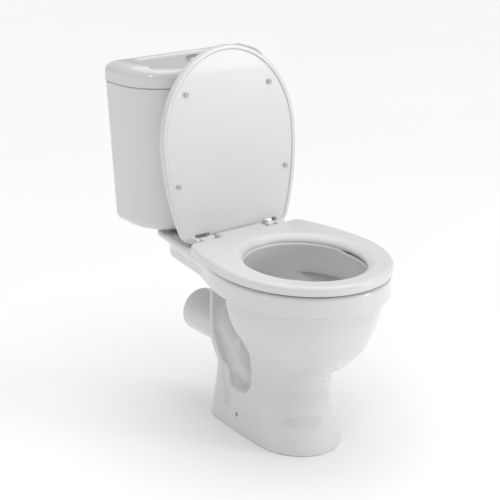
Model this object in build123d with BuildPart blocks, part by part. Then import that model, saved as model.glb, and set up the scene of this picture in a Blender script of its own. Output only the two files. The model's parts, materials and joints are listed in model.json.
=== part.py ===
from build123d import *
from math import cos, radians, sin, tan
import os

# Close coupled toilet, millimetres. +Z is up, the bowl points to -Y and the wall is at +Y.
# The origin is on the floor, at the middle of the whole object's box.

# ---------------------------------------------------------------- driving sizes
projection = 667.0            # front of the bowl to the wall
wall_y = projection / 2
front_y = -projection / 2
clearance = 0.3               # between pieces that move past each other
running_fit = 0.05            # radial, pins in their bores

# pan
pan_width = 355.0
rim_height = 400.0
rim_band = 44.0
rim_edge = 8.0
rim_wall = 9.0
rim_wall_depth = 62.0
rim_plate = 12.0
china = 12.0
widest_back = 212.0           # front of the bowl to its widest place
mouth_half_width = 120.0
mouth_length = 283.0
mouth_front_gap = 50.0
deck_half_front = 150.0
deck_half_middle = 139.0
deck_half_rear = 126.0
deck_rear_gap = 40.0          # rear of the deck to the wall
deck_middle_gap = 401.5        # front of the bowl to where the deck bends
deck_middle_y = front_y + deck_middle_gap
deck_under_slope = 34.0
deck_corner = 62.0
foot_half_width = 95.0
foot_front_gap = 115.0        # front of the bowl to front of the foot
foot_length = 336.0
foot_height = 84.0
foot_corner = 42.0
spine_half_width = 50.0
web_half_width = 64.0
web_thickness = 24.0

# trap passage and outlet
trap_radius = 38.0
trap_bend = 40.0
outlet_height = 185.0
outlet_radius = 51.0
outlet_wall_gap = 88.0        # end of the outlet to the wall
outlet_collar = 2.0           # thicker root of the outlet
outlet_root_y = 124.0

# side fixing to the floor
fixing_radius = 4.5
fixing_height = 39.0
fixing_from_front = 316.5
fixing_y = front_y + fixing_from_front
fixing_lean = 8.0             # degrees, square to the leaning wall
bracket_hole_radius = 5.2

# cistern
tank_width = 365.0
tank_width_bottom = 331.0
tank_depth = 179.0
tank_depth_bottom = 164.0
tank_side = 36.0
coupling_gap = 9.0             # cistern above the deck, held by the gasket
tank_bottom = rim_height + coupling_gap
tank_height = 327.0
tank_top = tank_bottom + tank_height
tank_wall = 10.0
tank_floor = 12.0
tank_bottom_edge = 24.0
wall_screw_spacing = 240.0
wall_screw_radius = 4.0
wall_screw_rise = 271.0        # above the underside of the cistern
wall_screw_height = tank_bottom + wall_screw_rise

# cistern lid and flush buttons
lid_overhang = 1.5
lid_height = 45.7
lid_edge = 24.0
lid_wall = 9.0
lid_lip = 8.0
lid_dish = 4.5
flush_from_wall = 95.5         # to the axis of the flush valve and of the buttons
flush_y = wall_y - flush_from_wall
button_radius = 24.2
button_split = 6.0            # dividing line, off the centre
button_height = 8.0
button_travel = 6.0
button_proud = 1.5
bezel_radius = 29.0
bezel_wall = 2.0

# seat and cover
seat_width = 361.0
seat_thickness = 20.0
seat_gap = 4.0                # seat above the rim, on its bumpers
seat_rear_half = 147.0
seat_length = 403.5            # to the straight rear edge
seat_rear_y = front_y + seat_length
seat_corner = 15.0
tongue_half_width = 61.5      # part of the seat between the hinges
tongue_length = 25.0           # behind the rear edge
tongue_rear_y = seat_rear_y + tongue_length
tongue_underside = 2.5        # above the seat's underside
tongue_edge = 6.0
seat_edge = 8.0
opening_half_width = 120.5
opening_front_gap = 53.0
opening_length = 283.0
cover_width = 357.0
cover_thickness = 16.5
cover_edge = 6.5
cover_front_gap = 4.0
cover_rear = 9.5              # behind the hinge axis
cover_rear_half = 134.0
cover_corner = 28.0
cover_lip_width = 8.5
cover_lip = 2.5
cover_gap = 5.5               # underside of the shut cover above the seat
open_lean = 4.9               # degrees past upright
bumper_radius = 5.0
seat_bumper_radius = 8.0

# hinges
hinge_from_front = 419.5
hinge_y = front_y + hinge_from_front
hinge_rise = 15.0              # hinge axis above the rim
hinge_height = rim_height + hinge_rise
hinge_spacing = 155.0
hinge_barrel = 8.5
hinge_pin_radius = 3.0
post_width = 16.0
post_base_radius = 16.0
post_base_height = 2.0
seat_lug_width = 18.0
cover_lug_width = 9.0
hinge_side_gap = 1.2
notch_depth = 21.0            # from the rear edge of the cover
stud_radius = 4.0
deck_hole_radius = 6.0

# cistern to pan coupling
coupling_spacing = 150.0
coupling_bolt_radius = 4.0
coupling_hole_radius = 6.0
deck_inlet_radius = 42.0
gasket_inner = 42.5
gasket_outer = 54.0

# flush valve
valve_tail_radius = 30.5
valve_bore = 25.0
valve_tail_length = 26.0      # below the tank floor's top face
valve_basket_radius = 34.0
valve_basket_height = 92.0
valve_tower_radius = 20.0
valve_tower_rise = 263.0       # above the underside of the cistern
valve_tower_top = tank_bottom + valve_tower_rise
valve_wall = 3.0
overflow_radius = 12.0
water_rise = 231.0             # overflow level above the underside of the cistern
overflow_top = tank_bottom + water_rise
valve_lift = 18.0

# fill valve
fill_x = 128.0
fill_from_wall = 65.5
fill_y = wall_y - fill_from_wall
inlet_radius = 10.48          # G1/2 thread
inlet_length = 37.0           # below the tank
inlet_nut_height = 8.5
shank_radius = 11.0           # plain shank through the tank's floor and the backnut
riser_radius = 9.0
fill_head_bottom = tank_bottom + water_rise
fill_head_height = 30.0
fill_head_radius = 16.0
float_radius = 27.0
float_rise = 143.0             # above the underside of the cistern
float_bottom = tank_bottom + float_rise
float_height = 44.0
float_travel = 12.0
float_lever = 38.0

rim_underside = rim_height - rim_band
seat_bottom = rim_height + seat_gap
seat_top = seat_bottom + seat_thickness
widest_y = front_y + widest_back
deck_rear_y = wall_y - deck_rear_gap
lid_bottom = tank_top + clearance
lid_top = lid_bottom + lid_height

os.makedirs("parts", exist_ok=True)


def finish(piece, name):
    """Labels a piece and writes it as its own STEP file."""
    piece.part.label = name
    export_step(piece.part, f"parts/{name}.step")


def egg(plane, front, widest, half, rear, rear_half, corner=0.0):
    """Seat-shaped outline: half ellipse in front, tangent arcs beside, straight behind."""
    with BuildSketch(plane) as section:
        with BuildLine():
            EllipticalCenterArc((0, widest), half, widest - front, start_angle=180, arc_size=180)
            TangentArc((half, widest), (rear_half, rear), tangent=(0, 1))
            Line((rear_half, rear), (-rear_half, rear))
            TangentArc((-half, widest), (-rear_half, rear), tangent=(0, 1))
        make_face()
        if corner:
            fillet(section.vertices().group_by(Axis.Y)[-1], corner)
    return section.sketch


def drawn_in(sizes, margin):
    """Sizes of an egg outline a margin inside another."""
    front, widest, half, rear, rear_half = sizes
    return front + margin, widest, half - margin, rear - margin, rear_half - margin


def level(height):
    """Horizontal sketch plane at a height above the floor."""
    return Plane.XY.offset(height)


def tank_plan(plane, width, depth, inset=0.0):
    """Cistern outline: straight back and sides, one swept curve round the front."""
    half = width / 2 - inset
    back = wall_y - inset
    side = wall_y - tank_side
    front = wall_y - depth + inset
    shoulder_x = 0.758 * half
    shoulder_y = side + 0.758 * (front - side)
    with BuildSketch(plane) as section:
        with BuildLine():
            Spline((half, side), (shoulder_x, shoulder_y), (0, front), tangents=[(0, -1), (-1, 0)])
            Spline((0, front), (-shoulder_x, shoulder_y), (-half, side), tangents=[(-1, 0), (0, 1)])
            Polyline((-half, side), (-half, back), (half, back), (half, side))
        make_face()
    return section.sketch


def rounded_edge(height, direction, radius, width, depth):
    """Loft sections that round a cistern outline off towards one end, its back left flat."""
    sections = []
    for step in range(7):
        angle = radians(15 * step)
        margin = radius * (1 - cos(angle))
        rise = direction * radius * sin(angle)
        sections.append(tank_plan(level(height + rise), width - 2 * margin, depth - margin))
    return sections


def deck_plan(plane, narrower, shorter):
    """Cistern platform behind the rim, drawn in by a margin at its sides and rear."""
    rear = deck_rear_y - shorter
    start_y = front_y + widest_back + 60
    with BuildSketch(plane) as section:
        with BuildLine():
            Polyline(
                (deck_half_front - narrower, start_y),
                (deck_half_middle - narrower, deck_middle_y),
                (deck_half_rear - narrower, 150),
                (deck_half_rear - narrower - 2, rear),
                (narrower + 2 - deck_half_rear, rear),
                (narrower - deck_half_rear, 150),
                (narrower - deck_half_middle, deck_middle_y),
                (narrower - deck_half_front, start_y),
                close=True,
            )
        make_face()
        fillet(section.vertices().group_by(Axis.Y)[-1], deck_corner - shorter / 2)
    return section.sketch


def ring(plane, inner, outer, length, centre=(0, 0)):
    """Plain tube or washer added to the part being built."""
    with BuildSketch(plane) as section:
        with Locations(centre):
            Circle(outer)
            if inner:
                Circle(inner, mode=Mode.SUBTRACT)
    extrude(section.sketch, amount=length)


def hole(plane, radius, length, centre=(0, 0)):
    """Round hole cut in the part being built."""
    with BuildSketch(plane) as section:
        with Locations(centre):
            Circle(radius)
    extrude(section.sketch, amount=length, mode=Mode.SUBTRACT)


def block(plane, width, depth, height, centre=(0, 0), mode=Mode.ADD):
    """Straight block on a plane, centred on a point."""
    with BuildSketch(plane) as section:
        with Locations(centre):
            Rectangle(width, depth)
    extrude(section.sketch, amount=height, mode=mode)


def fixing_plane(side, x_place):
    """Plane across a side fixing's axis, facing outwards, at a distance from the middle."""
    slope = tan(radians(fixing_lean))
    height = fixing_height - slope * (fixing_face - x_place)
    return Plane((side * x_place, fixing_y, height), z_dir=(side, 0, slope))


# ---------------------------------------------------------------- pan
fixing_face = foot_half_width - fixing_height * tan(radians(fixing_lean))
# Bowl sections from the rim down: height, front, widest place, half width, rear, rear half width.
pan_half = pan_width / 2
bowl_outside = [
    (rim_underside + 2, front_y + 16, widest_y + 2, pan_half - 14, 35, 118),
    (300, front_y + 30, widest_y + 4, pan_half - 18, 25, 110),
    (240, front_y + 59, widest_y + 12, pan_half - 31, 8, 90),
    (200, front_y + 94, widest_y + 22, pan_half - 50, -8, 74),
    (160, front_y + 140, widest_y + 36, pan_half - 80, -25, 60),
    (130, front_y + 145, widest_y + 42, pan_half - 93, -30, 56),
]
foot_front = front_y + foot_front_gap
foot_widest = foot_front + 114
foot_rear = foot_front + foot_length
pedestal_outside = [
    (0, foot_front, foot_widest, foot_half_width, foot_rear, 86),
    (foot_height * 0.6, foot_front + 7, foot_widest, foot_half_width - 7, foot_rear - 12, 78),
    (foot_height, foot_front + 16, foot_widest, foot_half_width - 14, foot_rear - 24, 70),
]
column_outside = [
    (foot_height - 10, foot_front + 14, foot_widest, foot_half_width - 12, -30, 60),
    (150, foot_front + 30, widest_y + 40, foot_half_width - 12, -30, 58),
]


def eggs(rows, inset=0.0, lower=0.0, corner=0.0):
    """Loft sections from rows of egg sizes, drawn in by a wall."""
    return [egg(level(row[0] - lower), *drawn_in(row[1:], inset), corner) for row in rows]


bowl_inside = [
    (rim_height - rim_plate, front_y + 14, widest_y, pan_half - 14, 20, 118),
    (rim_underside, front_y + 28, widest_y + 2, pan_half - 26, 16, 106),
    (300, front_y + 42, widest_y + 4, pan_half - 30, 10, 98),
    (240, front_y + 72, widest_y + 12, pan_half - 44, -6, 78),
    (200, front_y + 108, widest_y + 22, pan_half - 63, -20, 62),
    (165, front_y + 160, widest_y + 36, pan_half - 98, -28, 48),
    (142, front_y + 190, widest_y + 42, pan_half - 124, -32, 36),
]
passage = [
    (0, -98, 190), (0, -80, 100), (0, 0, 100), (0, 20, 272), (0, 98, outlet_height + 5),
    (0, wall_y - outlet_wall_gap + 2, outlet_height),
]
mouth_front = front_y + mouth_front_gap
mouth_middle = mouth_front + mouth_length / 2

with BuildPart() as pan:
    with BuildSketch(level(rim_underside)) as rim_outline:
        add(egg(Plane.XY, front_y + 2.5, widest_y, pan_half, 60, 141))
    extrude(amount=rim_band)
    fillet(pan.faces().sort_by(Axis.Z)[-1].edges(), rim_edge)
    loft([
        deck_plan(level(rim_underside + 2), deck_under_slope * 0.4, deck_under_slope),
        deck_plan(level(rim_height), 0, 0),
    ])
    loft(eggs(bowl_outside))
    loft(eggs(pedestal_outside, corner=foot_corner))
    loft(eggs(column_outside))
    # Spine round the trap, its rear web and the round outlet.
    block(level(foot_height - 10), 2 * spine_half_width, 150, rim_underside - foot_height + 20, (0, 20))
    with BuildSketch(Plane.YZ) as web_profile:
        with BuildLine():
            Polyline(
                (foot_rear - 18 - web_thickness, 30), (72 - web_thickness, 140),
                (103 - web_thickness, 240), (112 - web_thickness, rim_underside + 10),
                (112, rim_underside + 10), (103, 240), (72, 140), (foot_rear - 18, 30), close=True,
            )
        make_face()
    extrude(web_profile.sketch, amount=web_half_width, both=True)
    block(level(outlet_height), 2 * spine_half_width, 60, 80, (0, 92))
    outlet_root = Plane((0, outlet_root_y, outlet_height), z_dir=(0, -1, 0))
    ring(outlet_root, 0, outlet_radius + outlet_collar, outlet_root_y - 86)
    ring(outlet_root, 0, outlet_radius, outlet_root_y - wall_y + outlet_wall_gap)
    # Bowl, rim channel and hanging rim wall.
    loft(eggs(bowl_inside), mode=Mode.SUBTRACT)
    with BuildSketch(level(rim_height - rim_wall_depth)) as rim_ring:
        with Locations((0, mouth_middle)):
            Ellipse(mouth_half_width + rim_wall, mouth_length / 2 + rim_wall)
    extrude(rim_ring.sketch, amount=rim_wall_depth - 1)
    with BuildSketch(level(rim_height - rim_wall_depth)) as mouth:
        with Locations((0, mouth_middle)):
            Ellipse(mouth_half_width, mouth_length / 2)
    extrude(mouth.sketch, amount=rim_wall_depth + 1, mode=Mode.SUBTRACT)
    # Trap passage from the sump over the weir and out.
    with BuildLine() as passage_line:
        FilletPolyline(*passage, radius=trap_bend)
    with BuildSketch(Plane(passage_line.wire() @ 0, z_dir=passage_line.wire() % 0)) as passage_bore:
        Circle(trap_radius)
    sweep(passage_bore.sketch, path=passage_line.wire(), mode=Mode.SUBTRACT)
    # Flush water runs from the inlet under the cistern to the rim channel.
    hole(level(rim_height - 28), deck_inlet_radius, 30, (0, flush_y))
    block(level(rim_height - 28), 100, flush_y + 12, 16, (0, (flush_y - 12) / 2), Mode.SUBTRACT)
    # Hollow foot.
    loft(eggs(pedestal_outside[:2], china, 1, foot_corner - china), mode=Mode.SUBTRACT)
    with BuildSketch(level(30)) as front_hollow:
        with Locations((0, foot_front + 62)):
            Ellipse(50, 26)
    extrude(front_hollow.sketch, amount=84, mode=Mode.SUBTRACT)
    # Bolt holes in the deck and the two side fixings.
    for side in (-1, 1):
        hole(level(rim_underside - 4), deck_hole_radius, 60, (side * hinge_spacing / 2, hinge_y))
        hole(level(rim_underside - 4), coupling_hole_radius, 60, (side * coupling_spacing / 2, flush_y))
        hole(fixing_plane(side, 60), fixing_radius, 60)
finish(pan, "pan")

# ---------------------------------------------------------------- cistern tank
with BuildPart() as cistern_tank:
    edge_top = tank_bottom + tank_bottom_edge
    loft([
        tank_plan(level(edge_top), tank_width_bottom, tank_depth_bottom),
        tank_plan(level(tank_top), tank_width, tank_depth),
    ])
    loft(rounded_edge(edge_top, -1, tank_bottom_edge, tank_width_bottom, tank_depth_bottom), ruled=True)
    loft([
        tank_plan(level(tank_bottom + tank_floor), tank_width_bottom, tank_depth_bottom, tank_wall),
        tank_plan(level(tank_top + 1), tank_width, tank_depth, tank_wall),
    ], mode=Mode.SUBTRACT)
    hole(level(tank_bottom - 1), valve_tail_radius + 1, tank_floor + 2, (0, flush_y))
    hole(level(tank_bottom - 1), shank_radius + 1, tank_floor + 2, (fill_x, fill_y))
    for side in (-1, 1):
        hole(level(tank_bottom - 1), coupling_hole_radius, tank_floor + 2, (side * coupling_spacing / 2, flush_y))
        wall_screw = (side * wall_screw_spacing / 2, wall_y + 1, wall_screw_height)
        hole(Plane(wall_screw, z_dir=(0, -1, 0)), wall_screw_radius, tank_wall + 4)
finish(cistern_tank, "cistern_tank")

# ---------------------------------------------------------------- cistern lid, bezel, buttons
lid_width = tank_width + 2 * lid_overhang
lid_depth = tank_depth + lid_overhang
bezel_inner = button_radius + clearance
bezel_tube = bezel_inner + bezel_wall
well_bottom = lid_top - 30
with BuildPart() as cistern_lid:
    extrude(tank_plan(level(lid_bottom), lid_width, lid_depth), amount=lid_height - lid_edge)
    loft(rounded_edge(lid_top - lid_edge, 1, lid_edge, lid_width, lid_depth), ruled=True)
    extrude(tank_plan(level(lid_bottom), tank_width, tank_depth, tank_wall),
            amount=lid_height - lid_edge, mode=Mode.SUBTRACT)
    extrude(tank_plan(level(lid_bottom), tank_width, tank_depth, tank_wall + lid_edge),
            amount=lid_height - lid_wall - lid_dish, mode=Mode.SUBTRACT)
    with BuildSketch(level(lid_bottom - lid_lip)) as lip:
        add(tank_plan(Plane.XY, tank_width, tank_depth, tank_wall + 2))
        add(tank_plan(Plane.XY, tank_width, tank_depth, tank_wall + 8), mode=Mode.SUBTRACT)
    extrude(amount=lid_lip + 1)
    block(level(lid_bottom), tank_width - 2 * tank_wall + 4, 2, lid_height / 3,
          (0, wall_y - tank_wall - 1), Mode.ADD)
    extrude(tank_plan(level(lid_top - lid_dish), lid_width, lid_depth, lid_edge + 2),
            amount=lid_dish + 1, mode=Mode.SUBTRACT)
    hole(level(lid_bottom), bezel_tube + 0.5, lid_height + 2, (0, flush_y))
finish(cistern_lid, "cistern_lid")

dish_floor = lid_top - lid_dish
with BuildPart() as button_bezel:
    ring(level(dish_floor), bezel_inner, bezel_radius, lid_dish, (0, flush_y))
    ring(level(well_bottom), bezel_inner, bezel_tube, dish_floor - well_bottom, (0, flush_y))
    ring(level(well_bottom), 0, bezel_tube, 2, (0, flush_y))
    for rod_x in (-12, 14):
        hole(level(well_bottom - 1), 4, 5, (rod_x, flush_y))
    fillet(button_bezel.faces().sort_by(Axis.Z)[-1].outer_wire().edges(), 1.2)
finish(button_bezel, "button_bezel")

with BuildPart() as bezel_locknut:
    with BuildSketch(level(well_bottom + 4)) as locknut_outline:
        with Locations((0, flush_y)):
            RegularPolygon(bezel_tube + 9, 8)
            Circle(bezel_tube, mode=Mode.SUBTRACT)
    extrude(amount=dish_floor - lid_wall - well_bottom - 4)
finish(bezel_locknut, "bezel_locknut")

button_top = lid_top + button_proud


def push_button(plane_side):
    """One half of the divided round button, cut along a straight line."""
    with BuildPart() as button:
        ring(level(button_top - button_height), 0, button_radius, button_height, (0, flush_y))
        fillet(button.faces().sort_by(Axis.Z)[-1].edges(), 1.5)
        width = 4 * button_radius
        gap_edge = -button_split + plane_side * clearance
        block(level(button_top - 20), width, width, 40,
              (gap_edge - plane_side * width / 2, flush_y), Mode.SUBTRACT)
    return button


def push_rod(rod_x):
    """Rod hanging from a button, ending above the flush valve's tower."""
    with BuildPart() as rod:
        rod_bottom = valve_tower_top + button_travel + 2
        ring(level(rod_bottom), 0, 2.5, button_top - button_height - rod_bottom, (rod_x, flush_y))
    return rod


full_flush_button = push_button(1)
finish(full_flush_button, "full_flush_button")
full_flush_rod = push_rod(14)
finish(full_flush_rod, "full_flush_rod")
half_flush_button = push_button(-1)
finish(half_flush_button, "half_flush_button")
half_flush_rod = push_rod(-12)
finish(half_flush_rod, "half_flush_rod")

# ---------------------------------------------------------------- seat
opening_front = front_y + opening_front_gap
opening_middle = opening_front + opening_length / 2
post_inner = hinge_spacing / 2 - post_width / 2 + 4
post_outer = post_inner + post_width
seat_lug_inner = post_outer + hinge_side_gap
seat_lug_outer = seat_lug_inner + seat_lug_width
outer_lug = seat_lug_outer + hinge_side_gap


def across(x_place, side):
    """Plane on the hinge axis that faces outwards at a distance from the middle."""
    return Plane((side * x_place, hinge_y, hinge_height), x_dir=(0, side, 0), z_dir=(side, 0, 0))


with BuildPart() as seat_ring:
    extrude(egg(level(seat_bottom), front_y, widest_y, seat_width / 2, seat_rear_y, seat_rear_half, seat_corner),
            amount=seat_thickness)
    fillet(seat_ring.faces().sort_by(Axis.Z)[-1].edges(), seat_edge)
    # Tongue that reaches back between the hinges, its rear edge rounded to turn clear of the cover.
    with BuildSketch(Plane.YZ) as tongue_side:
        with BuildLine():
            Polyline(
                (seat_rear_y - 2 * seat_edge, seat_bottom + tongue_underside),
                (tongue_rear_y, seat_bottom + tongue_underside),
                (tongue_rear_y, seat_top),
                (seat_rear_y - 2 * seat_edge, seat_top),
                close=True,
            )
        make_face()
        fillet(tongue_side.vertices().sort_by(Axis.X)[-2:].sort_by(Axis.Y)[-1], tongue_edge)
    extrude(tongue_side.sketch, amount=tongue_half_width, both=True)
    with BuildSketch(level(seat_bottom - 1)) as opening:
        with Locations((0, opening_middle)):
            Ellipse(opening_half_width, opening_length / 2)
    extrude(opening.sketch, amount=seat_thickness + 2, mode=Mode.SUBTRACT)
    for side in (-1, 1):
        lug_x = side * (seat_lug_inner + seat_lug_outer) / 2
        block(level(hinge_height - hinge_barrel), seat_lug_width, hinge_y - seat_rear_y + 14,
              2 * hinge_barrel, (lug_x, (hinge_y + seat_rear_y - 14) / 2))
        ring(across(seat_lug_inner, side), 0, hinge_barrel, seat_lug_width)
        hole(across(seat_lug_inner - 5, side), hinge_pin_radius + running_fit, seat_lug_width + 10)
finish(seat_ring, "seat_ring")

with BuildPart() as seat_bumpers:
    for side in (-1, 1):
        for bumper_x, bumper_y in ((140, widest_y + 60), (110, widest_y - 130)):
            ring(level(rim_height + clearance), 0, seat_bumper_radius, seat_gap - clearance,
                 (side * bumper_x, bumper_y))
finish(seat_bumpers, "seat_bumpers")

# ---------------------------------------------------------------- cover, stored open
# Its plane carries the shut cover's layout: origin on the hinge axis, normal out of the top face.
cover_underside = seat_top + cover_gap - hinge_height
cover_front = front_y + cover_front_gap - hinge_y
cover_widest = widest_y - hinge_y
lean = radians(open_lean)


def cover_level(height):
    """Plane parallel to the cover at a height above the hinge axis, as when it is shut."""
    axis_plane = Plane((0, hinge_y, hinge_height), x_dir=(1, 0, 0), z_dir=(0, cos(lean), -sin(lean)))
    return axis_plane.offset(height)


with BuildPart() as cover_panel:
    outline = (cover_front, cover_widest, cover_width / 2, cover_rear, cover_rear_half)
    extrude(egg(cover_level(cover_underside), *outline, cover_corner), amount=cover_thickness)
    normal = cover_level(0).z_dir
    top_face = max(cover_panel.faces(), key=lambda f: f.center().dot(normal))
    fillet(top_face.edges(), cover_edge)
    with BuildSketch(cover_level(cover_underside - cover_lip)) as lip_ring:
        add(egg(Plane.XY, *drawn_in(outline, 1), cover_corner - 1))
        add(egg(Plane.XY, *drawn_in(outline, 1 + cover_lip_width), cover_corner - 1 - cover_lip_width),
            mode=Mode.SUBTRACT)
    extrude(amount=cover_lip + 1)
    for side in (-1, 1):
        notch_inner = post_inner - hinge_side_gap
        notch_outer = outer_lug
        block(cover_level(cover_underside - cover_lip - 1), notch_outer - notch_inner, 2 * notch_depth,
              cover_thickness + 10, (side * (notch_inner + notch_outer) / 2, cover_rear), Mode.SUBTRACT)
        lug_x = side * (outer_lug + cover_lug_width / 2)
        block(cover_level(0), cover_lug_width, 2 * hinge_barrel, cover_underside + 4, (lug_x, 0))
        ring(across(outer_lug, side), 0, hinge_barrel, cover_lug_width)
        hole(across(outer_lug - 2, side), hinge_pin_radius + running_fit, cover_lug_width + 4)
finish(cover_panel, "cover_panel")

with BuildPart() as cover_bumpers:
    for side in (-1, 1):
        for bumper_x, along in ((110, 318), (144, 125)):
            ring(cover_level(cover_underside - cover_gap + 0.5), 0, bumper_radius, cover_gap - 0.5,
                 (side * bumper_x, -along))
finish(cover_bumpers, "cover_bumpers")

# ---------------------------------------------------------------- hinges
pin_inner = post_inner + 1
pin_outer = outer_lug + cover_lug_width - 1
post_x = hinge_spacing / 2
for side, name in ((-1, "left"), (1, "right")):
    with BuildPart() as post:
        ring(level(rim_height), 0, post_base_radius, post_base_height, (side * post_x, hinge_y))
        block(level(rim_height + 1), post_width, 2 * hinge_barrel - 4, hinge_height - rim_height - 1,
              (side * (post_inner + post_outer) / 2, hinge_y))
        ring(across(post_inner, side), 0, hinge_barrel, post_width)
        hole(across(post_inner - 1, side), hinge_pin_radius, post_width + 2)
    finish(post, f"hinge_post_{name}")
    with BuildPart() as hinge_pin:
        ring(across(pin_inner, side), 0, hinge_pin_radius, pin_outer - pin_inner)
    finish(hinge_pin, f"hinge_pin_{name}")

deck_underside = rim_underside + 2
hinge_places = [(-post_x, hinge_y), (post_x, hinge_y)]
with BuildPart() as hinge_studs:
    for place in hinge_places:
        ring(level(deck_underside - 20), 0, stud_radius, rim_height - deck_underside + 20, place)
finish(hinge_studs, "hinge_studs")

with BuildPart() as hinge_washers:
    for place in hinge_places:
        ring(level(deck_underside - 2), stud_radius, 10, 2, place)
finish(hinge_washers, "hinge_washers")


def nuts(plane, radius, bore, height, places, sides=6):
    """Polygonal nuts at several places."""
    with BuildSketch(plane) as section:
        with Locations(*places):
            RegularPolygon(radius, sides)
            Circle(bore, mode=Mode.SUBTRACT)
    extrude(section.sketch, amount=height)


with BuildPart() as hinge_nuts:
    nuts(level(deck_underside - 12), 9, stud_radius, 10, hinge_places)
finish(hinge_nuts, "hinge_nuts")

# ---------------------------------------------------------------- coupling kit
coupling_x = coupling_spacing / 2
coupling_places = [(-coupling_x, flush_y), (coupling_x, flush_y)]
inside_floor = tank_bottom + tank_floor
with BuildPart() as coupling_gasket:
    ring(level(rim_height), gasket_inner, gasket_outer, tank_bottom - rim_height, (0, flush_y))
finish(coupling_gasket, "coupling_gasket")

with BuildPart() as coupling_seals:
    for place in coupling_places:
        ring(level(inside_floor), coupling_bolt_radius, 13, 3, place)
finish(coupling_seals, "coupling_seals")

with BuildPart() as coupling_bolts:
    for place in coupling_places:
        ring(level(inside_floor + 3), 0, 9, 6, place)
        ring(level(deck_underside - 22), 0, coupling_bolt_radius, inside_floor + 4 - deck_underside + 22, place)
finish(coupling_bolts, "coupling_bolts")

with BuildPart() as coupling_washers:
    for place in coupling_places:
        ring(level(deck_underside - 1.6), coupling_bolt_radius, 11, 1.6, place)
finish(coupling_washers, "coupling_washers")

with BuildPart() as coupling_wing_nuts:
    for place in coupling_places:
        ring(level(deck_underside - 12), coupling_bolt_radius, 8, 10.4, place)
        for wing in (-1, 1):
            block(level(deck_underside - 20), 3, 9, 16, (place[0], place[1] + wing * 11))
finish(coupling_wing_nuts, "coupling_wing_nuts")

# ---------------------------------------------------------------- flush valve
valve_place = (0, flush_y)
with BuildPart() as flush_valve_seal:
    ring(level(inside_floor), valve_tail_radius, 39, 2.5, valve_place)
finish(flush_valve_seal, "flush_valve_seal")

basket_bottom = inside_floor + 2.5
basket_top = basket_bottom + valve_basket_height
with BuildPart() as flush_valve_body:
    ring(level(inside_floor - valve_tail_length), valve_bore, valve_tail_radius,
         valve_tail_length + 2.5, valve_place)
    ring(level(basket_bottom), valve_bore, 39, 5, valve_place)
    ring(level(basket_bottom), valve_basket_radius - valve_wall, valve_basket_radius,
         valve_basket_height, valve_place)
    with BuildSketch(Plane.XZ.offset(-flush_y)) as window:
        with Locations((0, basket_bottom + valve_basket_height / 2)):
            RectangleRounded(30, valve_basket_height - 40, 8)
    extrude(window.sketch, amount=valve_basket_radius + 5, both=True, mode=Mode.SUBTRACT)
    with BuildSketch(Plane.YZ) as side_window:
        with Locations((flush_y, basket_bottom + valve_basket_height / 2)):
            RectangleRounded(30, valve_basket_height - 40, 8)
    extrude(side_window.sketch, amount=valve_basket_radius + 5, both=True, mode=Mode.SUBTRACT)
    ring(level(basket_top), valve_tower_radius - valve_wall, valve_basket_radius, valve_wall, valve_place)
    ring(level(basket_top), valve_tower_radius - valve_wall, valve_tower_radius,
         valve_tower_top - basket_top, valve_place)
    ring(level(valve_tower_top - valve_wall), overflow_radius + 1, valve_tower_radius + 2,
         valve_wall, valve_place)
finish(flush_valve_body, "flush_valve_body")

with BuildPart() as flush_valve_backnut:
    nuts(level(tank_bottom - 13), gasket_inner - 1, valve_tail_radius, 13, [valve_place], 8)
finish(flush_valve_backnut, "flush_valve_backnut")

seat_level = basket_bottom + 5
with BuildPart() as flush_seal:
    ring(level(seat_level + clearance), overflow_radius, valve_bore + 4, 3, valve_place)
finish(flush_seal, "flush_seal")

with BuildPart() as overflow_tube:
    ring(level(seat_level + clearance), overflow_radius - 2, overflow_radius,
         overflow_top - seat_level, valve_place)
    ring(level(seat_level + clearance + 3), overflow_radius - 2, valve_bore + 2, 3, valve_place)
finish(overflow_tube, "overflow_tube")

# ---------------------------------------------------------------- fill valve and float
fill_place = (fill_x, fill_y)
arm_pivot_x = fill_x - fill_head_radius - 8
rod_x = arm_pivot_x - float_lever
arm_height = fill_head_bottom + 14
arm_half = 3.5
with BuildPart() as fill_valve_washer:
    ring(level(inside_floor), shank_radius, 17, 3, fill_place)
finish(fill_valve_washer, "fill_valve_washer")

with BuildPart() as fill_valve_body:
    ring(level(tank_bottom - inlet_length), inlet_radius - 3, inlet_radius,
         inlet_length - inlet_nut_height, fill_place)
    ring(level(tank_bottom - inlet_nut_height), inlet_radius - 3, shank_radius,
         inside_floor + 3 - tank_bottom + inlet_nut_height, fill_place)
    ring(level(inside_floor + 3), riser_radius - 3, 17, 6, fill_place)
    ring(level(inside_floor + 3), riser_radius - 3, riser_radius, fill_head_bottom - inside_floor, fill_place)
    ring(level(fill_head_bottom), 0, fill_head_radius, fill_head_height, fill_place)
    for side in (-1, 1):
        block(level(arm_height - 7), 18, 3, 14, (fill_x - fill_head_radius - 5, fill_y + side * 6.5))
    hole(Plane((arm_pivot_x, fill_y - 12, arm_height), z_dir=(0, 1, 0)), 2, 24)
finish(fill_valve_body, "fill_valve_body")

with BuildPart() as float_arm_pin:
    ring(Plane((arm_pivot_x, fill_y - 9, arm_height), z_dir=(0, 1, 0)), 0, 2, 18)
finish(float_arm_pin, "float_arm_pin")

with BuildPart() as float_arm:
    block(level(arm_height - arm_half), float_lever + 8, 8, 2 * arm_half,
          (arm_pivot_x - float_lever / 2 + 1, fill_y))
    fillet(float_arm.edges().filter_by(Axis.Y), arm_half - 0.2)
    hole(Plane((arm_pivot_x, fill_y - 12, arm_height), z_dir=(0, 1, 0)), 2 + running_fit, 24)
finish(float_arm, "float_arm")

with BuildPart() as fill_valve_backnut:
    nuts(level(tank_bottom - inlet_nut_height), 16, shank_radius, inlet_nut_height, [fill_place])
finish(fill_valve_backnut, "fill_valve_backnut")

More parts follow.
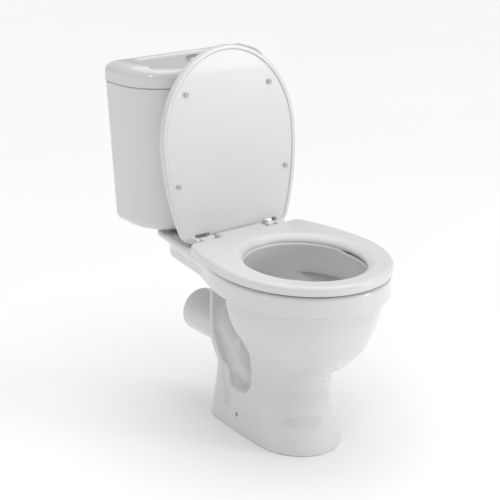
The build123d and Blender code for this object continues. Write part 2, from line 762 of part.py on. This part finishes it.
float_top = float_bottom + float_height
with BuildPart() as float_cup:
    ring(level(float_bottom), riser_radius + 1, float_radius, float_height, fill_place)
    with BuildSketch(level(float_bottom - 1)) as air_space:
        with Locations(fill_place):
            Circle(float_radius - 2)
            Circle(riser_radius + 3, mode=Mode.SUBTRACT)
    extrude(air_space.sketch, amount=float_height - 2, mode=Mode.SUBTRACT)
    tab_end = rod_x - 5
    tab_start = fill_x - float_radius + 4
    block(level(float_top - 5), tab_start - tab_end, 10, 5, ((tab_start + tab_end) / 2, fill_y))
    hole(level(float_top - 6), 2, 8, (rod_x, fill_y))
finish(float_cup, "float_cup")

with BuildPart() as float_rod:
    ring(level(float_top - 10), 0, 2, arm_height - arm_half - 0.4 - float_top + 10, (rod_x, fill_y))
finish(float_rod, "float_rod")

# ---------------------------------------------------------------- floor brackets inside the foot
inner_wall = foot_half_width - china - 9.4
with BuildPart() as floor_brackets:
    for side in (-1, 1):
        block(level(0), 30, 26, 4, (side * (inner_wall - 15), fixing_y))
        block(level(0), 4, 26, fixing_height + 7, (side * (inner_wall - 2), fixing_y))
        hole(fixing_plane(side, inner_wall - 10), bracket_hole_radius, 14)
        hole(level(-1), 4, 8, (side * (inner_wall - 18), fixing_y))
finish(floor_brackets, "floor_brackets")
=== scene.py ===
import json
import math

import bpy
import numpy as np
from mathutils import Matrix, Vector


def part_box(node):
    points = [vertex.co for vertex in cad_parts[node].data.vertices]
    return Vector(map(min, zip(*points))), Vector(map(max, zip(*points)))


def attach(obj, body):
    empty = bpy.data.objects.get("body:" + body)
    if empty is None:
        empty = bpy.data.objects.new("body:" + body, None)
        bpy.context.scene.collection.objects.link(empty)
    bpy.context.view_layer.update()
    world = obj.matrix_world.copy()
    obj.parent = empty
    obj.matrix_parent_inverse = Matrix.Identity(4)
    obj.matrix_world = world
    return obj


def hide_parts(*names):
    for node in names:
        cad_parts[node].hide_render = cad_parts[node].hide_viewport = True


# Close coupled toilet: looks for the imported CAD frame. Shapes are worked out in millimetres, in the
# CAD frame, as signed distances (negative inside), then meshed and scaled to metres.
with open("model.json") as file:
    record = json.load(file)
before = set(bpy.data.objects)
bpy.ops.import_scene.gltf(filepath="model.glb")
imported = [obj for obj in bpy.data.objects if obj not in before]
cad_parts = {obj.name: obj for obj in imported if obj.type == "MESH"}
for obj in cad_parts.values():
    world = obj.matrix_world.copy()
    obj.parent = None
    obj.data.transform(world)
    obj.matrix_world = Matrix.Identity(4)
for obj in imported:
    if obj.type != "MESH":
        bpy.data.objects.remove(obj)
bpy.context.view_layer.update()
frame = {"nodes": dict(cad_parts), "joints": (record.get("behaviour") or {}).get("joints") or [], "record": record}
MM = 0.001

# ---------------------------------------------------------------- sizes taken from the frame
def box_mm(node):
    """Lowest and highest corner of a CAD node in millimetres."""
    low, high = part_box(node)
    return np.array(low) / MM, np.array(high) / MM


pan_low, pan_high = box_mm("pan")
tank_low, tank_high = box_mm("cistern_tank")
lid_low, lid_high = box_mm("cistern_lid")
seat_low, seat_high = box_mm("seat_ring")
cover_low, cover_high = box_mm("cover_panel")
bezel_low, bezel_high = box_mm("button_bezel")
joint = {j["name"]: j for j in frame["joints"]}
hinge_y, hinge_z = np.array(joint["seat_hinge"]["pos_m"])[1:] / MM

rim_top = pan_high[2]
wall_y = tank_high[1]
front_y = seat_low[1]
widest_y = front_y + 212
rim_underside = rim_top - 44
flush_y = (bezel_low[1] + bezel_high[1]) / 2


# ---------------------------------------------------------------- distance functions
def both_sides(p):
    """Points folded onto the right-hand half, as x, y, z."""
    return np.abs(p[:, 0]), p[:, 1], p[:, 2]


def join(a, b, soft=0.0):
    """Union, blended over a distance."""
    if not soft:
        return np.minimum(a, b)
    blend = np.maximum(soft - np.abs(a - b), 0) / soft
    return np.minimum(a, b) - blend * blend * soft / 4


def common(a, b, soft=0.0):
    """Intersection, blended over a distance."""
    return -join(-a, -b, soft)


def cut(a, b, soft=0.0):
    """a with b taken away, the edge blended over a distance."""
    return -join(-a, b, soft)


def rounded(a, b, radius):
    """Intersection of two solids whose shared edge is rounded to a radius."""
    u, v = a + radius, b + radius
    return np.minimum(np.maximum(u, v), 0) + np.hypot(np.maximum(u, 0), np.maximum(v, 0)) - radius


def ellipse(u, v, a, b):
    """Distance from an ellipse with half axes a and b."""
    k0 = np.hypot(u / a, v / b)
    k1 = np.maximum(np.hypot(u / (a * a), v / (b * b)), 1e-9)
    return k0 * (k0 - 1) / k1


def superellipse(u, v, a, b, power):
    """Distance from an oval with squarer shoulders than an ellipse."""
    u, v = u / a, v / b
    size = np.maximum((u ** power + v ** power) ** (1 / power), 1e-3)
    steep = np.hypot((u / size) ** (power - 1) / a, (v / size) ** (power - 1) / b)
    return (size - 1) / np.maximum(steep, 1e-6)


def egg(x, y, front, widest, half, rear, rear_half, corner, power=2.0):
    """Seat-shaped outline: half oval in front, tangent arcs beside, straight behind."""
    narrowing = half - rear_half
    run = rear - widest
    arc = (narrowing * narrowing + run * run) / (2 * narrowing)
    side = np.hypot(x - half + arc, np.maximum(y - widest, 0)) - arc
    nose = superellipse(x, np.maximum(widest - y, 0), half, widest - front, power)
    return rounded(np.where(y < widest, nose, side), y - rear, corner)


def oval(x, y, front, widest, half, rear):
    """Outline of two half ellipses that meet at the widest place."""
    reach = np.where(y < widest, widest - front, rear - widest)
    return ellipse(x, y - widest, half, reach)


def slab(outline, z, bottom, top, bottom_radius, top_radius):
    """Flat solid with a 2-D outline, its lower and upper edges rounded."""
    middle = (bottom + top) / 2
    thickness = np.abs(z - middle) - (top - bottom) / 2
    return rounded(outline, thickness, np.where(z > middle, top_radius, bottom_radius))


def capsule(x, y, z, start, end, radius):
    """Round rod between two points."""
    start, end = np.array(start, float), np.array(end, float)
    along = end - start
    reached = (x - start[0]) * along[0] + (y - start[1]) * along[1] + (z - start[2]) * along[2]
    t = np.clip(reached / along.dot(along), 0, 1)
    gap = [(x, y, z)[i] - start[i] - t * along[i] for i in range(3)]
    return np.sqrt(gap[0] ** 2 + gap[1] ** 2 + gap[2] ** 2) - radius


class Rows:
    """Sizes that change with height, blended so that no row shows as a crease."""

    def __init__(self, rows, spread):
        rows = np.array(sorted(rows), float)
        self.heights = np.arange(rows[0, 0] - spread, rows[-1, 0] + spread)
        weights = np.hanning(2 * spread + 1)
        weights /= weights.sum()
        self.columns = [
            np.convolve(np.pad(np.interp(self.heights, rows[:, 0], c), spread, mode="edge"), weights, "valid")
            for c in rows.T[1:]
        ]

    def __call__(self, z):
        return [np.interp(z, self.heights, c) for c in self.columns]


# ---------------------------------------------------------------- meshing
CORNERS = [(i, j, k) for i in (0, 1) for j in (0, 1) for k in (0, 1)]


def sample(solid, low, step, counts, block=8):
    """Grid of distances, worked out only in the blocks near the surface."""
    blocks = -(-counts // block)
    values = np.ones(blocks * block, np.float32)
    index = np.stack(np.meshgrid(*[np.arange(n) for n in blocks], indexing="ij"), -1).reshape(-1, 3)
    reach = block * step
    middles = low + (index + 0.5) * reach
    centre = solid(middles)
    steepness = np.linalg.norm(gradient(solid, middles), axis=1)
    centre = centre / np.maximum(steepness, 1)
    offsets = np.stack(np.meshgrid(*[np.arange(block)] * 3, indexing="ij"), -1).reshape(-1, 3)
    for place, distance in zip(index * block, centre):
        if distance < 0:
            values[tuple(slice(n, n + block) for n in place)] = -1
    close = index[np.abs(centre) < 2.2 * reach] * block
    for group in np.array_split(close, max(1, len(close) // 400)):
        cells = (group[:, None, :] + offsets[None]).reshape(-1, 3)
        values[tuple(cells.T)] = solid(low + cells * step)
    return values


def gradient(solid, points, reach=0.05):
    """Slope of the distance field at points."""
    slopes = []
    for axis in range(3):
        shift = np.zeros(3)
        shift[axis] = reach
        slopes.append((solid(points + shift) - solid(points - shift)) / (2 * reach))
    return np.stack(slopes, -1)


def surface(solid, low, high, step):
    """Quads on the zero level of a distance field, and the surface normal at each vertex."""
    low = np.array(low, float) - 3.37 * step
    counts = np.ceil((np.array(high, float) - low) / step).astype(int) + 4
    values = sample(solid, low, step, counts)
    inside = values < 0
    span = [n - 1 for n in values.shape]
    part = lambda grid, c: grid[c[0]:c[0] + span[0], c[1]:c[1] + span[1], c[2]:c[2] + span[2]]
    total = sum(part(inside, c).astype(np.int8) for c in CORNERS)
    cells = np.argwhere((total > 0) & (total < 8))
    number = np.full(span, -1, np.int64)
    number[tuple(cells.T)] = np.arange(len(cells))
    at_corner = {c: values[tuple((cells + c).T)] for c in CORNERS}
    place, crossings = np.zeros((len(cells), 3)), np.zeros(len(cells))
    for a in CORNERS:
        for axis in range(3):
            if a[axis]:
                continue
            b = tuple(a[i] + (i == axis) for i in range(3))
            crossed = (at_corner[a] < 0) != (at_corner[b] < 0)
            share = at_corner[a][crossed] / (at_corner[a][crossed] - at_corner[b][crossed])
            place[crossed] += np.array(a) + share[:, None] * (np.array(b) - np.array(a))
            crossings[crossed] += 1
    points = low + (cells + place / crossings[:, None]) * step
    for _ in range(4):
        slope = gradient(solid, points)
        length = np.maximum((slope ** 2).sum(1), 0.05)
        points -= np.clip(slope * (solid(points) / length)[:, None], -step / 2, step / 2)
    normals = gradient(solid, points)
    normals /= np.maximum(np.linalg.norm(normals, axis=1), 1e-9)[:, None]
    faces = []
    for axis in range(3):
        u, v = (axis + 1) % 3, (axis + 2) % 3
        unit = np.eye(3, dtype=int)
        near = [slice(0, n) for n in span]
        far = list(near)
        near[axis], far[axis] = slice(0, span[axis]), slice(1, span[axis] + 1)
        changed = inside[tuple(near)] != inside[tuple(far)]
        edges = np.argwhere(changed)
        edges = edges[(edges[:, u] > 0) & (edges[:, v] > 0)]
        ring = [edges - unit[u] - unit[v], edges - unit[v], edges, edges - unit[u]]
        quad = np.stack([number[tuple(c.T)] for c in ring], 1)
        outwards = inside[tuple(edges.T)]
        quad[~outwards] = quad[~outwards][:, ::-1]
        faces.append(quad[(quad >= 0).all(1)])
    return points, np.concatenate(faces), normals


def piece(name, solid, low, high, step, to_world=None):
    """Blender mesh of a solid, smooth-shaded with the solid's own normals."""
    points, faces, normals = surface(solid, low, high, step)
    if to_world is not None:
        turn, shift = to_world
        points, normals = points @ turn.T + shift, normals @ turn.T
    mesh = bpy.data.meshes.new(name)
    mesh.vertices.add(len(points))
    mesh.vertices.foreach_set("co", (points * MM).ravel())
    mesh.loops.add(faces.size)
    mesh.loops.foreach_set("vertex_index", faces.ravel())
    mesh.polygons.add(len(faces))
    mesh.polygons.foreach_set("loop_start", np.arange(0, faces.size, 4))
    mesh.polygons.foreach_set("use_smooth", np.ones(len(faces), bool))
    mesh.update(calc_edges=True)
    mesh.validate()
    mesh.normals_split_custom_set_from_vertices(normals)
    thing = bpy.data.objects.new(name, mesh)
    bpy.context.scene.collection.objects.link(thing)
    print(name, len(points), "vertices,", len(faces), "faces")
    return thing


# ---------------------------------------------------------------- pan
# Rows: height, front, widest place, half width, rear, rear half width, rear corner.
BOWL = Rows([
    (380, -310, -121, 160, 40, 118, 60),
    (352, -310, -121, 160, 34, 112, 60),
    (314, -304, -119, 154, 26, 104, 55),
    (280, -295, -116, 146, 14, 92, 50),
    (240, -281, -108, 123, 2, 78, 45),
    (200, -243, -97, 103, -8, 66, 36),
    (165, -196, -87, 90, -14, 58, 30),
    (140, -181, -82, 80, -20, 50, 26),
], 14)
COLUMN = Rows([
    (0, -219, -105, 95, 118, 83, 52),
    (36, -211, -103, 91.5, 111, 81, 46),
    (60, -205, -99, 89, 105, 80, 42),
    (84, -198, -90, 86, 97, 79, 36),
    (134, -188, -80, 84, 86, 77, 28),
    (158, -190, -80, 83, 88, 77, 9),
    (173, -200, -80, 82, 96, 77, 6),
    (224, -210, -80, 81, 101, 77, 6),
    (294, -220, -80, 81, 99, 77, 6),
    (372, -230, -80, 81, 102, 77, 6),
], 7)
# Heights and places of the niche's front edge and of the fin behind it.
NICHE_FRONT = [(90, -86), (150, -90), (215, -92), (248, -88), (275, -80), (300, -70), (340, -66)]
FIN_FRONT = [(42, 26), (61, 27), (116, 33), (134, 41), (160, 63), (200, 86), (231, 90), (295, 88)]
CAVITY = Rows([
    (350, -300, -140, 148, -6, 42, 36),
    (300, -289, -140, 134, -24, 38, 34),
    (240, -261, -128, 104, -38, 36, 32),
    (200, -223, -112, 83, -44, 34, 30),
    (165, -180, -96, 66, -42, 32, 28),
    (140, -150, -88, 50, -40, 28, 24),
    (112, -118, -76, 36, -38, 24, 22),
], 12)
# Sizes of the pan in millimetres: rim, mouth, rim wall, outlet, trap, niche and side fixing.
RIM_HALF, RIM_REAR = 177.5, 104
MOUTH_Y, MOUTH_HALF, MOUTH_REACH = -142, 120, 141.5
RIM_WALL_HALF, RIM_WALL_REACH, RIM_WALL = 124.5, 146, 4.5
OUTLET_Z, OUTLET_RADIUS, OUTLET_BORE, OUTLET_END = 185, 51, 44, 245.3
TRAP_RADIUS, THROAT_RADIUS, WATERWAY_RADIUS = 61, 34, 36
BOWL_WALL, FOOT_WALL = 10, 12
NICHE_DEPTH_X, NICHE_BOTTOM, NICHE_CORNER_X, NICHE_TILT = 36, 98, 112, 0.95
FIXING_X, FIXING_Y, FIXING_Z, FIXING_RADIUS = 89.5, -17, 39, 4.5
FIXING_LEAN = math.radians(8)
PASSAGE = [(0, -88, 140), (0, -72, 110), (0, 4, 110), (0, 92, 200), (0, 130, 188), (0, 260, 185)]


def pan_solid(p):
    """China pan: rim, deck, bowl, column with its side niches, trap, outlet and hollow foot."""
    x, y, z = both_sides(p)
    rim = slab(oval(x, y, front_y + 2.5, widest_y, RIM_HALF, RIM_REAR), z, rim_underside, rim_top, 4, 7)
    deck_side = (x - 139 + 0.142 * (y - 68)) * 0.99
    plate = rounded(deck_side, y - 293.5, 62)
    plate = slab(rounded(plate, -110 - y, 20), z, rim_top - 14, rim_top, 5, 5)
    block = rounded(deck_side + 3, y - 258, 88)
    block = slab(rounded(block, -110 - y, 20), z, rim_underside, rim_top - 3, 5, 1)
    deck = join(plate, block, 10)
    top = join(rim, deck, 22)

    bowl = egg(x, y, *BOWL(z), 2.25)
    bowl = rounded(bowl, z - 370, 1)
    bowl = rounded(bowl, 132 - z, 12)
    column_outline = egg(x, y, *COLUMN(z))
    column = common(rounded(column_outline, -z, 2), z - 372)
    body = join(bowl, column, 16)

    cavity = egg(x, y, *CAVITY(z))
    cavity = rounded(rounded(cavity, 108 - z, 16), z - 346, 8)
    mouth = rounded(ellipse(x, y - MOUTH_Y, MOUTH_HALF, MOUTH_REACH), 320 - z, 1)
    cavity = join(cavity, mouth, 3)

    # Niche on each side, between the bowl and the rear fin, with the trap bulging into it.
    niche_front = np.interp(z, *zip(*NICHE_FRONT)) + NICHE_TILT * np.maximum(NICHE_CORNER_X - x, 0)
    fin_front = np.interp(z, *zip(*FIN_FRONT))
    niche = rounded(rounded(NICHE_DEPTH_X - x, niche_front - y, 12), y - fin_front, 9)
    niche = common(rounded(niche, NICHE_BOTTOM - z, 30), z - 380)
    niche = cut(niche, cavity - BOWL_WALL, 16)
    body = cut(body, niche, 6)
    trap = capsule(x, y, z, (0, 104, 220), (0, 8, 114), TRAP_RADIUS)
    trap = rounded(trap, y - COLUMN(z)[3] + 6, 6)
    body = join(body, trap, 14)
    groove = capsule(x, y, z, (84, 40, 128), (89, 27, 58), 12)
    body = cut(body, groove, 8)
    outlet = rounded(np.hypot(x, z - OUTLET_Z) - OUTLET_RADIUS, y - OUTLET_END, 4)
    outlet = common(outlet, 20 - y)
    body = join(body, outlet, 8)
    solid = join(top, body, 5)

    # Bowl inside, hanging rim wall, waste passage, hollow foot and side fixings.
    wall = np.abs(ellipse(x, y - MOUTH_Y, RIM_WALL_HALF, RIM_WALL_REACH)) - RIM_WALL
    cavity = cut(cavity, slab(wall, z, 338, 410, 4, 1), 2)
    solid = cut(solid, cavity, 4)
    passage = capsule(x, y, z, PASSAGE[0], PASSAGE[1], THROAT_RADIUS)
    for start, end in zip(PASSAGE[1:], PASSAGE[2:]):
        passage = join(passage, capsule(x, y, z, start, end, WATERWAY_RADIUS), 6)
    passage = join(passage, np.maximum(np.hypot(x, z - OUTLET_Z) - OUTLET_BORE, 150 - y), 6)
    solid = cut(solid, passage, 3)
    hollow = rounded(column_outline + FOOT_WALL, z - 54, 8)
    hollow = cut(hollow, join(trap, passage - 6), 3)
    solid = cut(solid, hollow, 2)
    off_axis = (z - FIXING_Z) * math.cos(FIXING_LEAN) - (x - FIXING_X) * math.sin(FIXING_LEAN)
    screw = np.maximum(np.hypot(off_axis, y - FIXING_Y) - FIXING_RADIUS, 60 - x)
    return cut(solid, screw, 1.5)


# ---------------------------------------------------------------- cistern
# Sizes of the cistern and its lid in millimetres. The tank widens and deepens towards its top.
OUTLINE_POWER, TANK_SIDE = 2.5, 36
TANK_HALF, TANK_HALF_RISE = 165.5, 17
TANK_DEPTH, TANK_DEPTH_RISE = 164, 15
TANK_WALL, TANK_FLOOR = 10, 12
INLET_X, INLET_Y = 128, 268
LID_HALF, LID_EDGE, DISH_DEPTH, DISH_SLOPE = 184, 25, 4.5, 0.012
LID_LIP_INSET, LID_LIP, BUTTON_WELL = 16.5, 3, 27


def tank_outline(x, y, half, front, inset):
    """Straight back and sides, one swept curve round the front, drawn in by an inset."""
    side_y = wall_y - TANK_SIDE
    swept = superellipse(x, np.maximum(side_y - y, 0), half - inset, side_y - front - inset, OUTLINE_POWER)
    return rounded(swept, y - wall_y + inset, 5)


def tank_solid(p):
    """Tapering cistern with a rounded lower edge, open at the top."""
    x, y, z = both_sides(p)
    rise = np.clip((z - tank_low[2]) / (tank_high[2] - tank_low[2]), 0, 1)
    half = TANK_HALF + TANK_HALF_RISE * rise
    front = wall_y - TANK_DEPTH - TANK_DEPTH_RISE * rise
    outside = slab(tank_outline(x, y, half, front, 0), z, tank_low[2], tank_high[2], 24, 2)
    inside = rounded(tank_outline(x, y, half, front, TANK_WALL), tank_low[2] + TANK_FLOOR - z, 16)
    solid = cut(outside, inside, 3)
    for hole_x, hole_y, radius in ((0, flush_y, 31.5), (75, flush_y, 6)):
        solid = cut(solid, np.hypot(x - hole_x, y - hole_y) - radius, 1)
    inlet = np.hypot(p[:, 0] - INLET_X, y - INLET_Y) - 12
    return cut(solid, np.maximum(inlet, z - tank_low[2] - 40), 1)


def lid_solid(p):
    """Lid with broad rounded edges, a shallow dish in its top and a lip inside the tank."""
    x, y, z = both_sides(p)
    half, front = LID_HALF, lid_low[1]
    bottom, top = tank_high[2] + 0.3, lid_high[2]
    outline = tank_outline(x, y, half, front, 0)
    outside = slab(outline, z, bottom, top, 2, LID_EDGE)
    back_edge = rounded(y - wall_y, z - top, 7)
    outside = np.maximum(outside, back_edge)
    floor = top - DISH_DEPTH + DISH_SLOPE * (y - flush_y)
    dish = rounded(rounded(x - 139, y - 301, 26), 178 - y, 24)
    outside = cut(outside, common(dish, floor - z, 6), 10)
    inside = slab(tank_outline(x, y, half, front, 11), z, bottom - 60, top - 14, 1, 18)
    solid = cut(outside, inside, 1)
    lip = np.abs(tank_outline(x, y, half, front, LID_LIP_INSET)) - LID_LIP
    solid = join(solid, slab(lip, z, lid_low[2], top - 20, 2, 1), 3)
    well = np.hypot(x, y - flush_y) - BUTTON_WELL
    return cut(solid, well, 1)


# ---------------------------------------------------------------- seat and cover
# Hinge sizes in millimetres: lugs on the seat and the cover, their barrels and pin bores.
BARREL, PIN_BORE = 8.5, 3.1
SEAT_LUG_X, SEAT_LUG_HALF = 99.7, 9
COVER_LUG_X, COVER_LUG_HALF = 114.4, 4.5


def seat_solid(p):
    """Seat ring with a broad inner slope, a tongue between the hinges and a lug for each."""
    x, y, z = both_sides(p)
    bottom, top = seat_low[2], seat_high[2]
    outline = egg(x, y, front_y, widest_y, 180.5, 70.0, 147.0, 15.0)
    ring = slab(outline, z, bottom, top, 2.5, 9)
    tongue = slab(rounded(x - 61.5, y - 95, 4), z, bottom + 2.5, top, 3, 6)
    ring = join(ring, np.maximum(tongue, 40 - y), 2)
    flare = 15 * np.clip((z - bottom - 5) / (top - bottom - 5), 0, 1.2) ** 2
    opening = ellipse(x, y + 139, 120.5, 141.5) - flare
    ring = cut(ring, opening, 5)
    lug = rounded(np.hypot(y - hinge_y, z - hinge_z) - BARREL, np.abs(x - SEAT_LUG_X) - SEAT_LUG_HALF, 1.2)
    arm = rounded(np.abs(z - hinge_z) - BARREL, np.abs(x - SEAT_LUG_X) - SEAT_LUG_HALF, 1.2)
    arm = np.maximum(np.maximum(arm, y - hinge_y), 60 - y)
    ring = join(ring, join(lug, arm), 1.5)
    bore = np.hypot(y - hinge_y, z - hinge_z) - PIN_BORE
    return cut(ring, np.maximum(bore, np.abs(x - SEAT_LUG_X) - 14))


LEAN = math.radians(4.9)
COVER_TO_WORLD = (
    np.array([[1, 0, 0], [0, -math.sin(LEAN), math.cos(LEAN)], [0, -math.cos(LEAN), -math.sin(LEAN)]]),
    np.array([0, hinge_y, hinge_z]),
)
cover_under = seat_high[2] + 5.5 - hinge_z
cover_front = front_y + 4 - hinge_y


def cover_solid(p):
    """Cover in its shut place, measured from the hinge axis: domed top, lip round the underside."""
    x, y, z = both_sides(p)
    bottom, top = cover_under, cover_under + 16.5
    outline = egg(x, y, cover_front + 4, widest_y - hinge_y, 176.0, 9.5, 134.0, 28.0)
    panel = slab(outline, z, bottom, top, 1.5, 7)
    lip = np.abs(outline + 5.25) - 4.25
    panel = join(panel, slab(lip, z, bottom - 2.5, bottom + 6, 1.2, 1), 1.5)
    notch = rounded(rounded(np.abs(x - 91) - 18.9, -11.5 - y, 3), bottom - 20 - z, 1)
    panel = cut(panel, notch, 1.5)
    across = np.abs(x - COVER_LUG_X) - COVER_LUG_HALF
    barrel = rounded(np.hypot(y, z) - BARREL, across, 1)
    arm = rounded(rounded(np.abs(y) - BARREL, across, 1), -z, 0.5)
    arm = np.maximum(arm, z - bottom - 5)
    panel = join(panel, join(barrel, arm), 1.5)
    return cut(panel, np.maximum(np.hypot(y, z) - PIN_BORE, np.abs(x - 91) - 32))


# ---------------------------------------------------------------- materials
def material(
    name, colour, roughness, variation=0.02, coat=0.0, metallic=0.0, bump=0.02, scale=40.0, subsurface=0.0
):
    """Procedural finish: colour and roughness drift over the surface, with a fine bump."""
    made = bpy.data.materials.new(name)
    made.use_nodes = True
    nodes, links = made.node_tree.nodes, made.node_tree.links
    shader = nodes["Principled BSDF"]
    shader.inputs["Metallic"].default_value = metallic
    shader.inputs["Coat Weight"].default_value = coat
    shader.inputs["Coat Roughness"].default_value = 0.03
    shader.inputs["Subsurface Weight"].default_value = subsurface
    shader.inputs["Subsurface Scale"].default_value = 0.004
    place = nodes.new("ShaderNodeTexCoord")
    cloud = nodes.new("ShaderNodeTexNoise")
    cloud.inputs["Scale"].default_value = scale / 8
    cloud.inputs["Detail"].default_value = 4
    links.new(place.outputs["Object"], cloud.inputs["Vector"])
    tint = nodes.new("ShaderNodeValToRGB")
    tint.color_ramp.elements[0].position, tint.color_ramp.elements[1].position = 0.3, 0.7
    tint.color_ramp.elements[0].color = (*[c * (1 - variation) for c in colour], 1)
    tint.color_ramp.elements[1].color = (*[min(1, c * (1 + variation)) for c in colour], 1)
    links.new(cloud.outputs["Fac"], tint.inputs["Fac"])
    links.new(tint.outputs["Color"], shader.inputs["Base Color"])
    gloss = nodes.new("ShaderNodeMapRange")
    gloss.inputs["To Min"].default_value = roughness * 0.85
    gloss.inputs["To Max"].default_value = roughness * 1.15
    links.new(cloud.outputs["Fac"], gloss.inputs["Value"])
    links.new(gloss.outputs["Result"], shader.inputs["Roughness"])
    grain = nodes.new("ShaderNodeTexNoise")
    grain.inputs["Scale"].default_value = scale
    grain.inputs["Detail"].default_value = 3
    links.new(place.outputs["Object"], grain.inputs["Vector"])
    relief = nodes.new("ShaderNodeBump")
    relief.inputs["Strength"].default_value = bump
    relief.inputs["Distance"].default_value = 0.001
    links.new(grain.outputs["Fac"], relief.inputs["Height"])
    links.new(relief.outputs["Normal"], shader.inputs["Normal"])
    return made


MATERIALS = {
    "china": material("glazed_china", (0.70, 0.70, 0.695), 0.12, 0.012, coat=0.6, bump=0.04, scale=28),
    "seat_plastic": material("gloss_plastic", (0.72, 0.72, 0.72), 0.3, 0.01, coat=0.1, bump=0.03, scale=60),
    "hinge_plastic": material("hinge_plastic", (0.78, 0.78, 0.78), 0.28, 0.015, bump=0.05, scale=150),
    # Bumper grey: partly the bumpers' own greyish tone, partly painted shade that stands in for the shading of
    # their domed tops.
    "bumper": material("bumper_grey_and_painted_shade", (0.47, 0.47, 0.46), 0.45, 0.03, bump=0.06, scale=220, subsurface=0.2),
    "chrome": material("polished_chrome", (0.86, 0.87, 0.88), 0.05, 0.01, metallic=1.0, bump=0.01, scale=80),
    "steel": material("plated_steel", (0.55, 0.55, 0.56), 0.28, 0.06, metallic=1.0, bump=0.06, scale=260),
    "rubber": material("black_rubber", (0.025, 0.025, 0.027), 0.6, 0.12, bump=0.15, scale=300),
    "valve_plastic": material("valve_plastic", (0.72, 0.73, 0.72), 0.38, 0.03, bump=0.06, scale=140),
    "nut_plastic": material("nut_plastic", (0.07, 0.07, 0.075), 0.45, 0.1, bump=0.1, scale=180),
}

slot_of = {}
for row in frame["record"]["subparts"]:
    slot_of[row["node"]] = row["material_slot"]


def dress(thing, slot_name):
    """Gives an object one finish from the record's material slots."""
    if not thing.material_slots:
        thing.data.materials.append(MATERIALS[slot_name])
    for place in thing.material_slots:
        place.material = MATERIALS[slot_name]


for node_name, node_object in frame["nodes"].items():
    dress(node_object, slot_of[node_name])

# ---------------------------------------------------------------- pieces that stand for CAD nodes
local_low = (cover_low[0], cover_front, cover_under - 30)
local_high = (cover_high[0], 12, cover_under + 17)
PIECES = [
    ("pan_china", pan_solid, pan_low, pan_high, 3.5, None, "pan", "pan", "china"),
    ("cistern_china", tank_solid, tank_low, tank_high, 3.5, None, "pan", "cistern_tank", "china"),
    ("lid_china", lid_solid, lid_low, lid_high, 2.2, None, "lid", "cistern_lid", "china"),
    ("seat_moulding", seat_solid, seat_low, seat_high, 2.2, None, "seat", "seat_ring", "seat_plastic"),
    ("cover_moulding", cover_solid, local_low, local_high, 2.0, COVER_TO_WORLD, "cover", "cover_panel",
     "seat_plastic"),
]
for name, solid, low, high, step, to_world, body, replaced, slot_name in PIECES:
    made = piece(name, solid, low, high, step, to_world)
    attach(made, body)
    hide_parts(replaced)
    dress(made, slot_name)

# ---------------------------------------------------------------- floor, light and camera
def floor_plane():
    """Large pale sheet under the object."""
    half = 12.0
    mesh = bpy.data.meshes.new("studio_floor")
    corners = [(-half, -half, 0), (half, -half, 0), (half, half, 0), (-half, half, 0)]
    mesh.from_pydata(corners, [], [(0, 1, 2, 3)])
    sheet = bpy.data.objects.new("studio_floor", mesh)
    bpy.context.scene.collection.objects.link(sheet)
    sheet.data.materials.append(material("pale_floor", (0.94, 0.94, 0.94), 0.7, 0.005, bump=0.02, scale=6))


def softbox(name, place, target, width, height, power):
    """Rectangular area light aimed at a point."""
    lamp = bpy.data.lights.new(name, "AREA")
    lamp.shape = "RECTANGLE"
    lamp.size, lamp.size_y, lamp.energy = width, height, power
    held = bpy.data.objects.new(name, lamp)
    held.location = place
    held.rotation_euler = (Vector(target) - Vector(place)).to_track_quat("-Z", "Y").to_euler()
    bpy.context.scene.collection.objects.link(held)


floor_plane()
middle = (0, 0, 0.4)
softbox("key_right", (1.9, -2.5, 0.9), middle, 0.7, 0.7, 24)
softbox("left", (-2.4, -1.2, 1.7), middle, 0.35, 0.35, 5)
overhead = bpy.data.lights.new("overhead", "SUN")
overhead.energy = 2.1
overhead.angle = math.radians(80)
bpy.context.scene.collection.objects.link(bpy.data.objects.new("overhead", overhead))

world = bpy.data.worlds.new("studio")
bpy.context.scene.world = world
world.use_nodes = True
world.node_tree.nodes["Background"].inputs["Color"].default_value = (1, 1, 1, 1)
world.node_tree.nodes["Background"].inputs["Strength"].default_value = 0.36
bpy.context.scene.view_settings.view_transform = "Standard"

camera = bpy.data.cameras.new("camera")
camera.lens, camera.sensor_width = 97.74, 36
camera.shift_x, camera.shift_y = -0.0264, -0.0361
eye = bpy.data.objects.new("camera", camera)
target = Vector((0, 0.003, 0.4379))
azimuth, elevation, distance = math.radians(-37.26), math.radians(18.6), 2.9157
level = math.cos(elevation)
back = Vector((math.sin(azimuth) * level, -math.cos(azimuth) * level, math.sin(elevation)))
eye.location = target + back * distance
eye.rotation_euler = (-back).to_track_quat("-Z", "Y").to_euler()
bpy.context.scene.collection.objects.link(eye)
bpy.context.scene.camera = eye
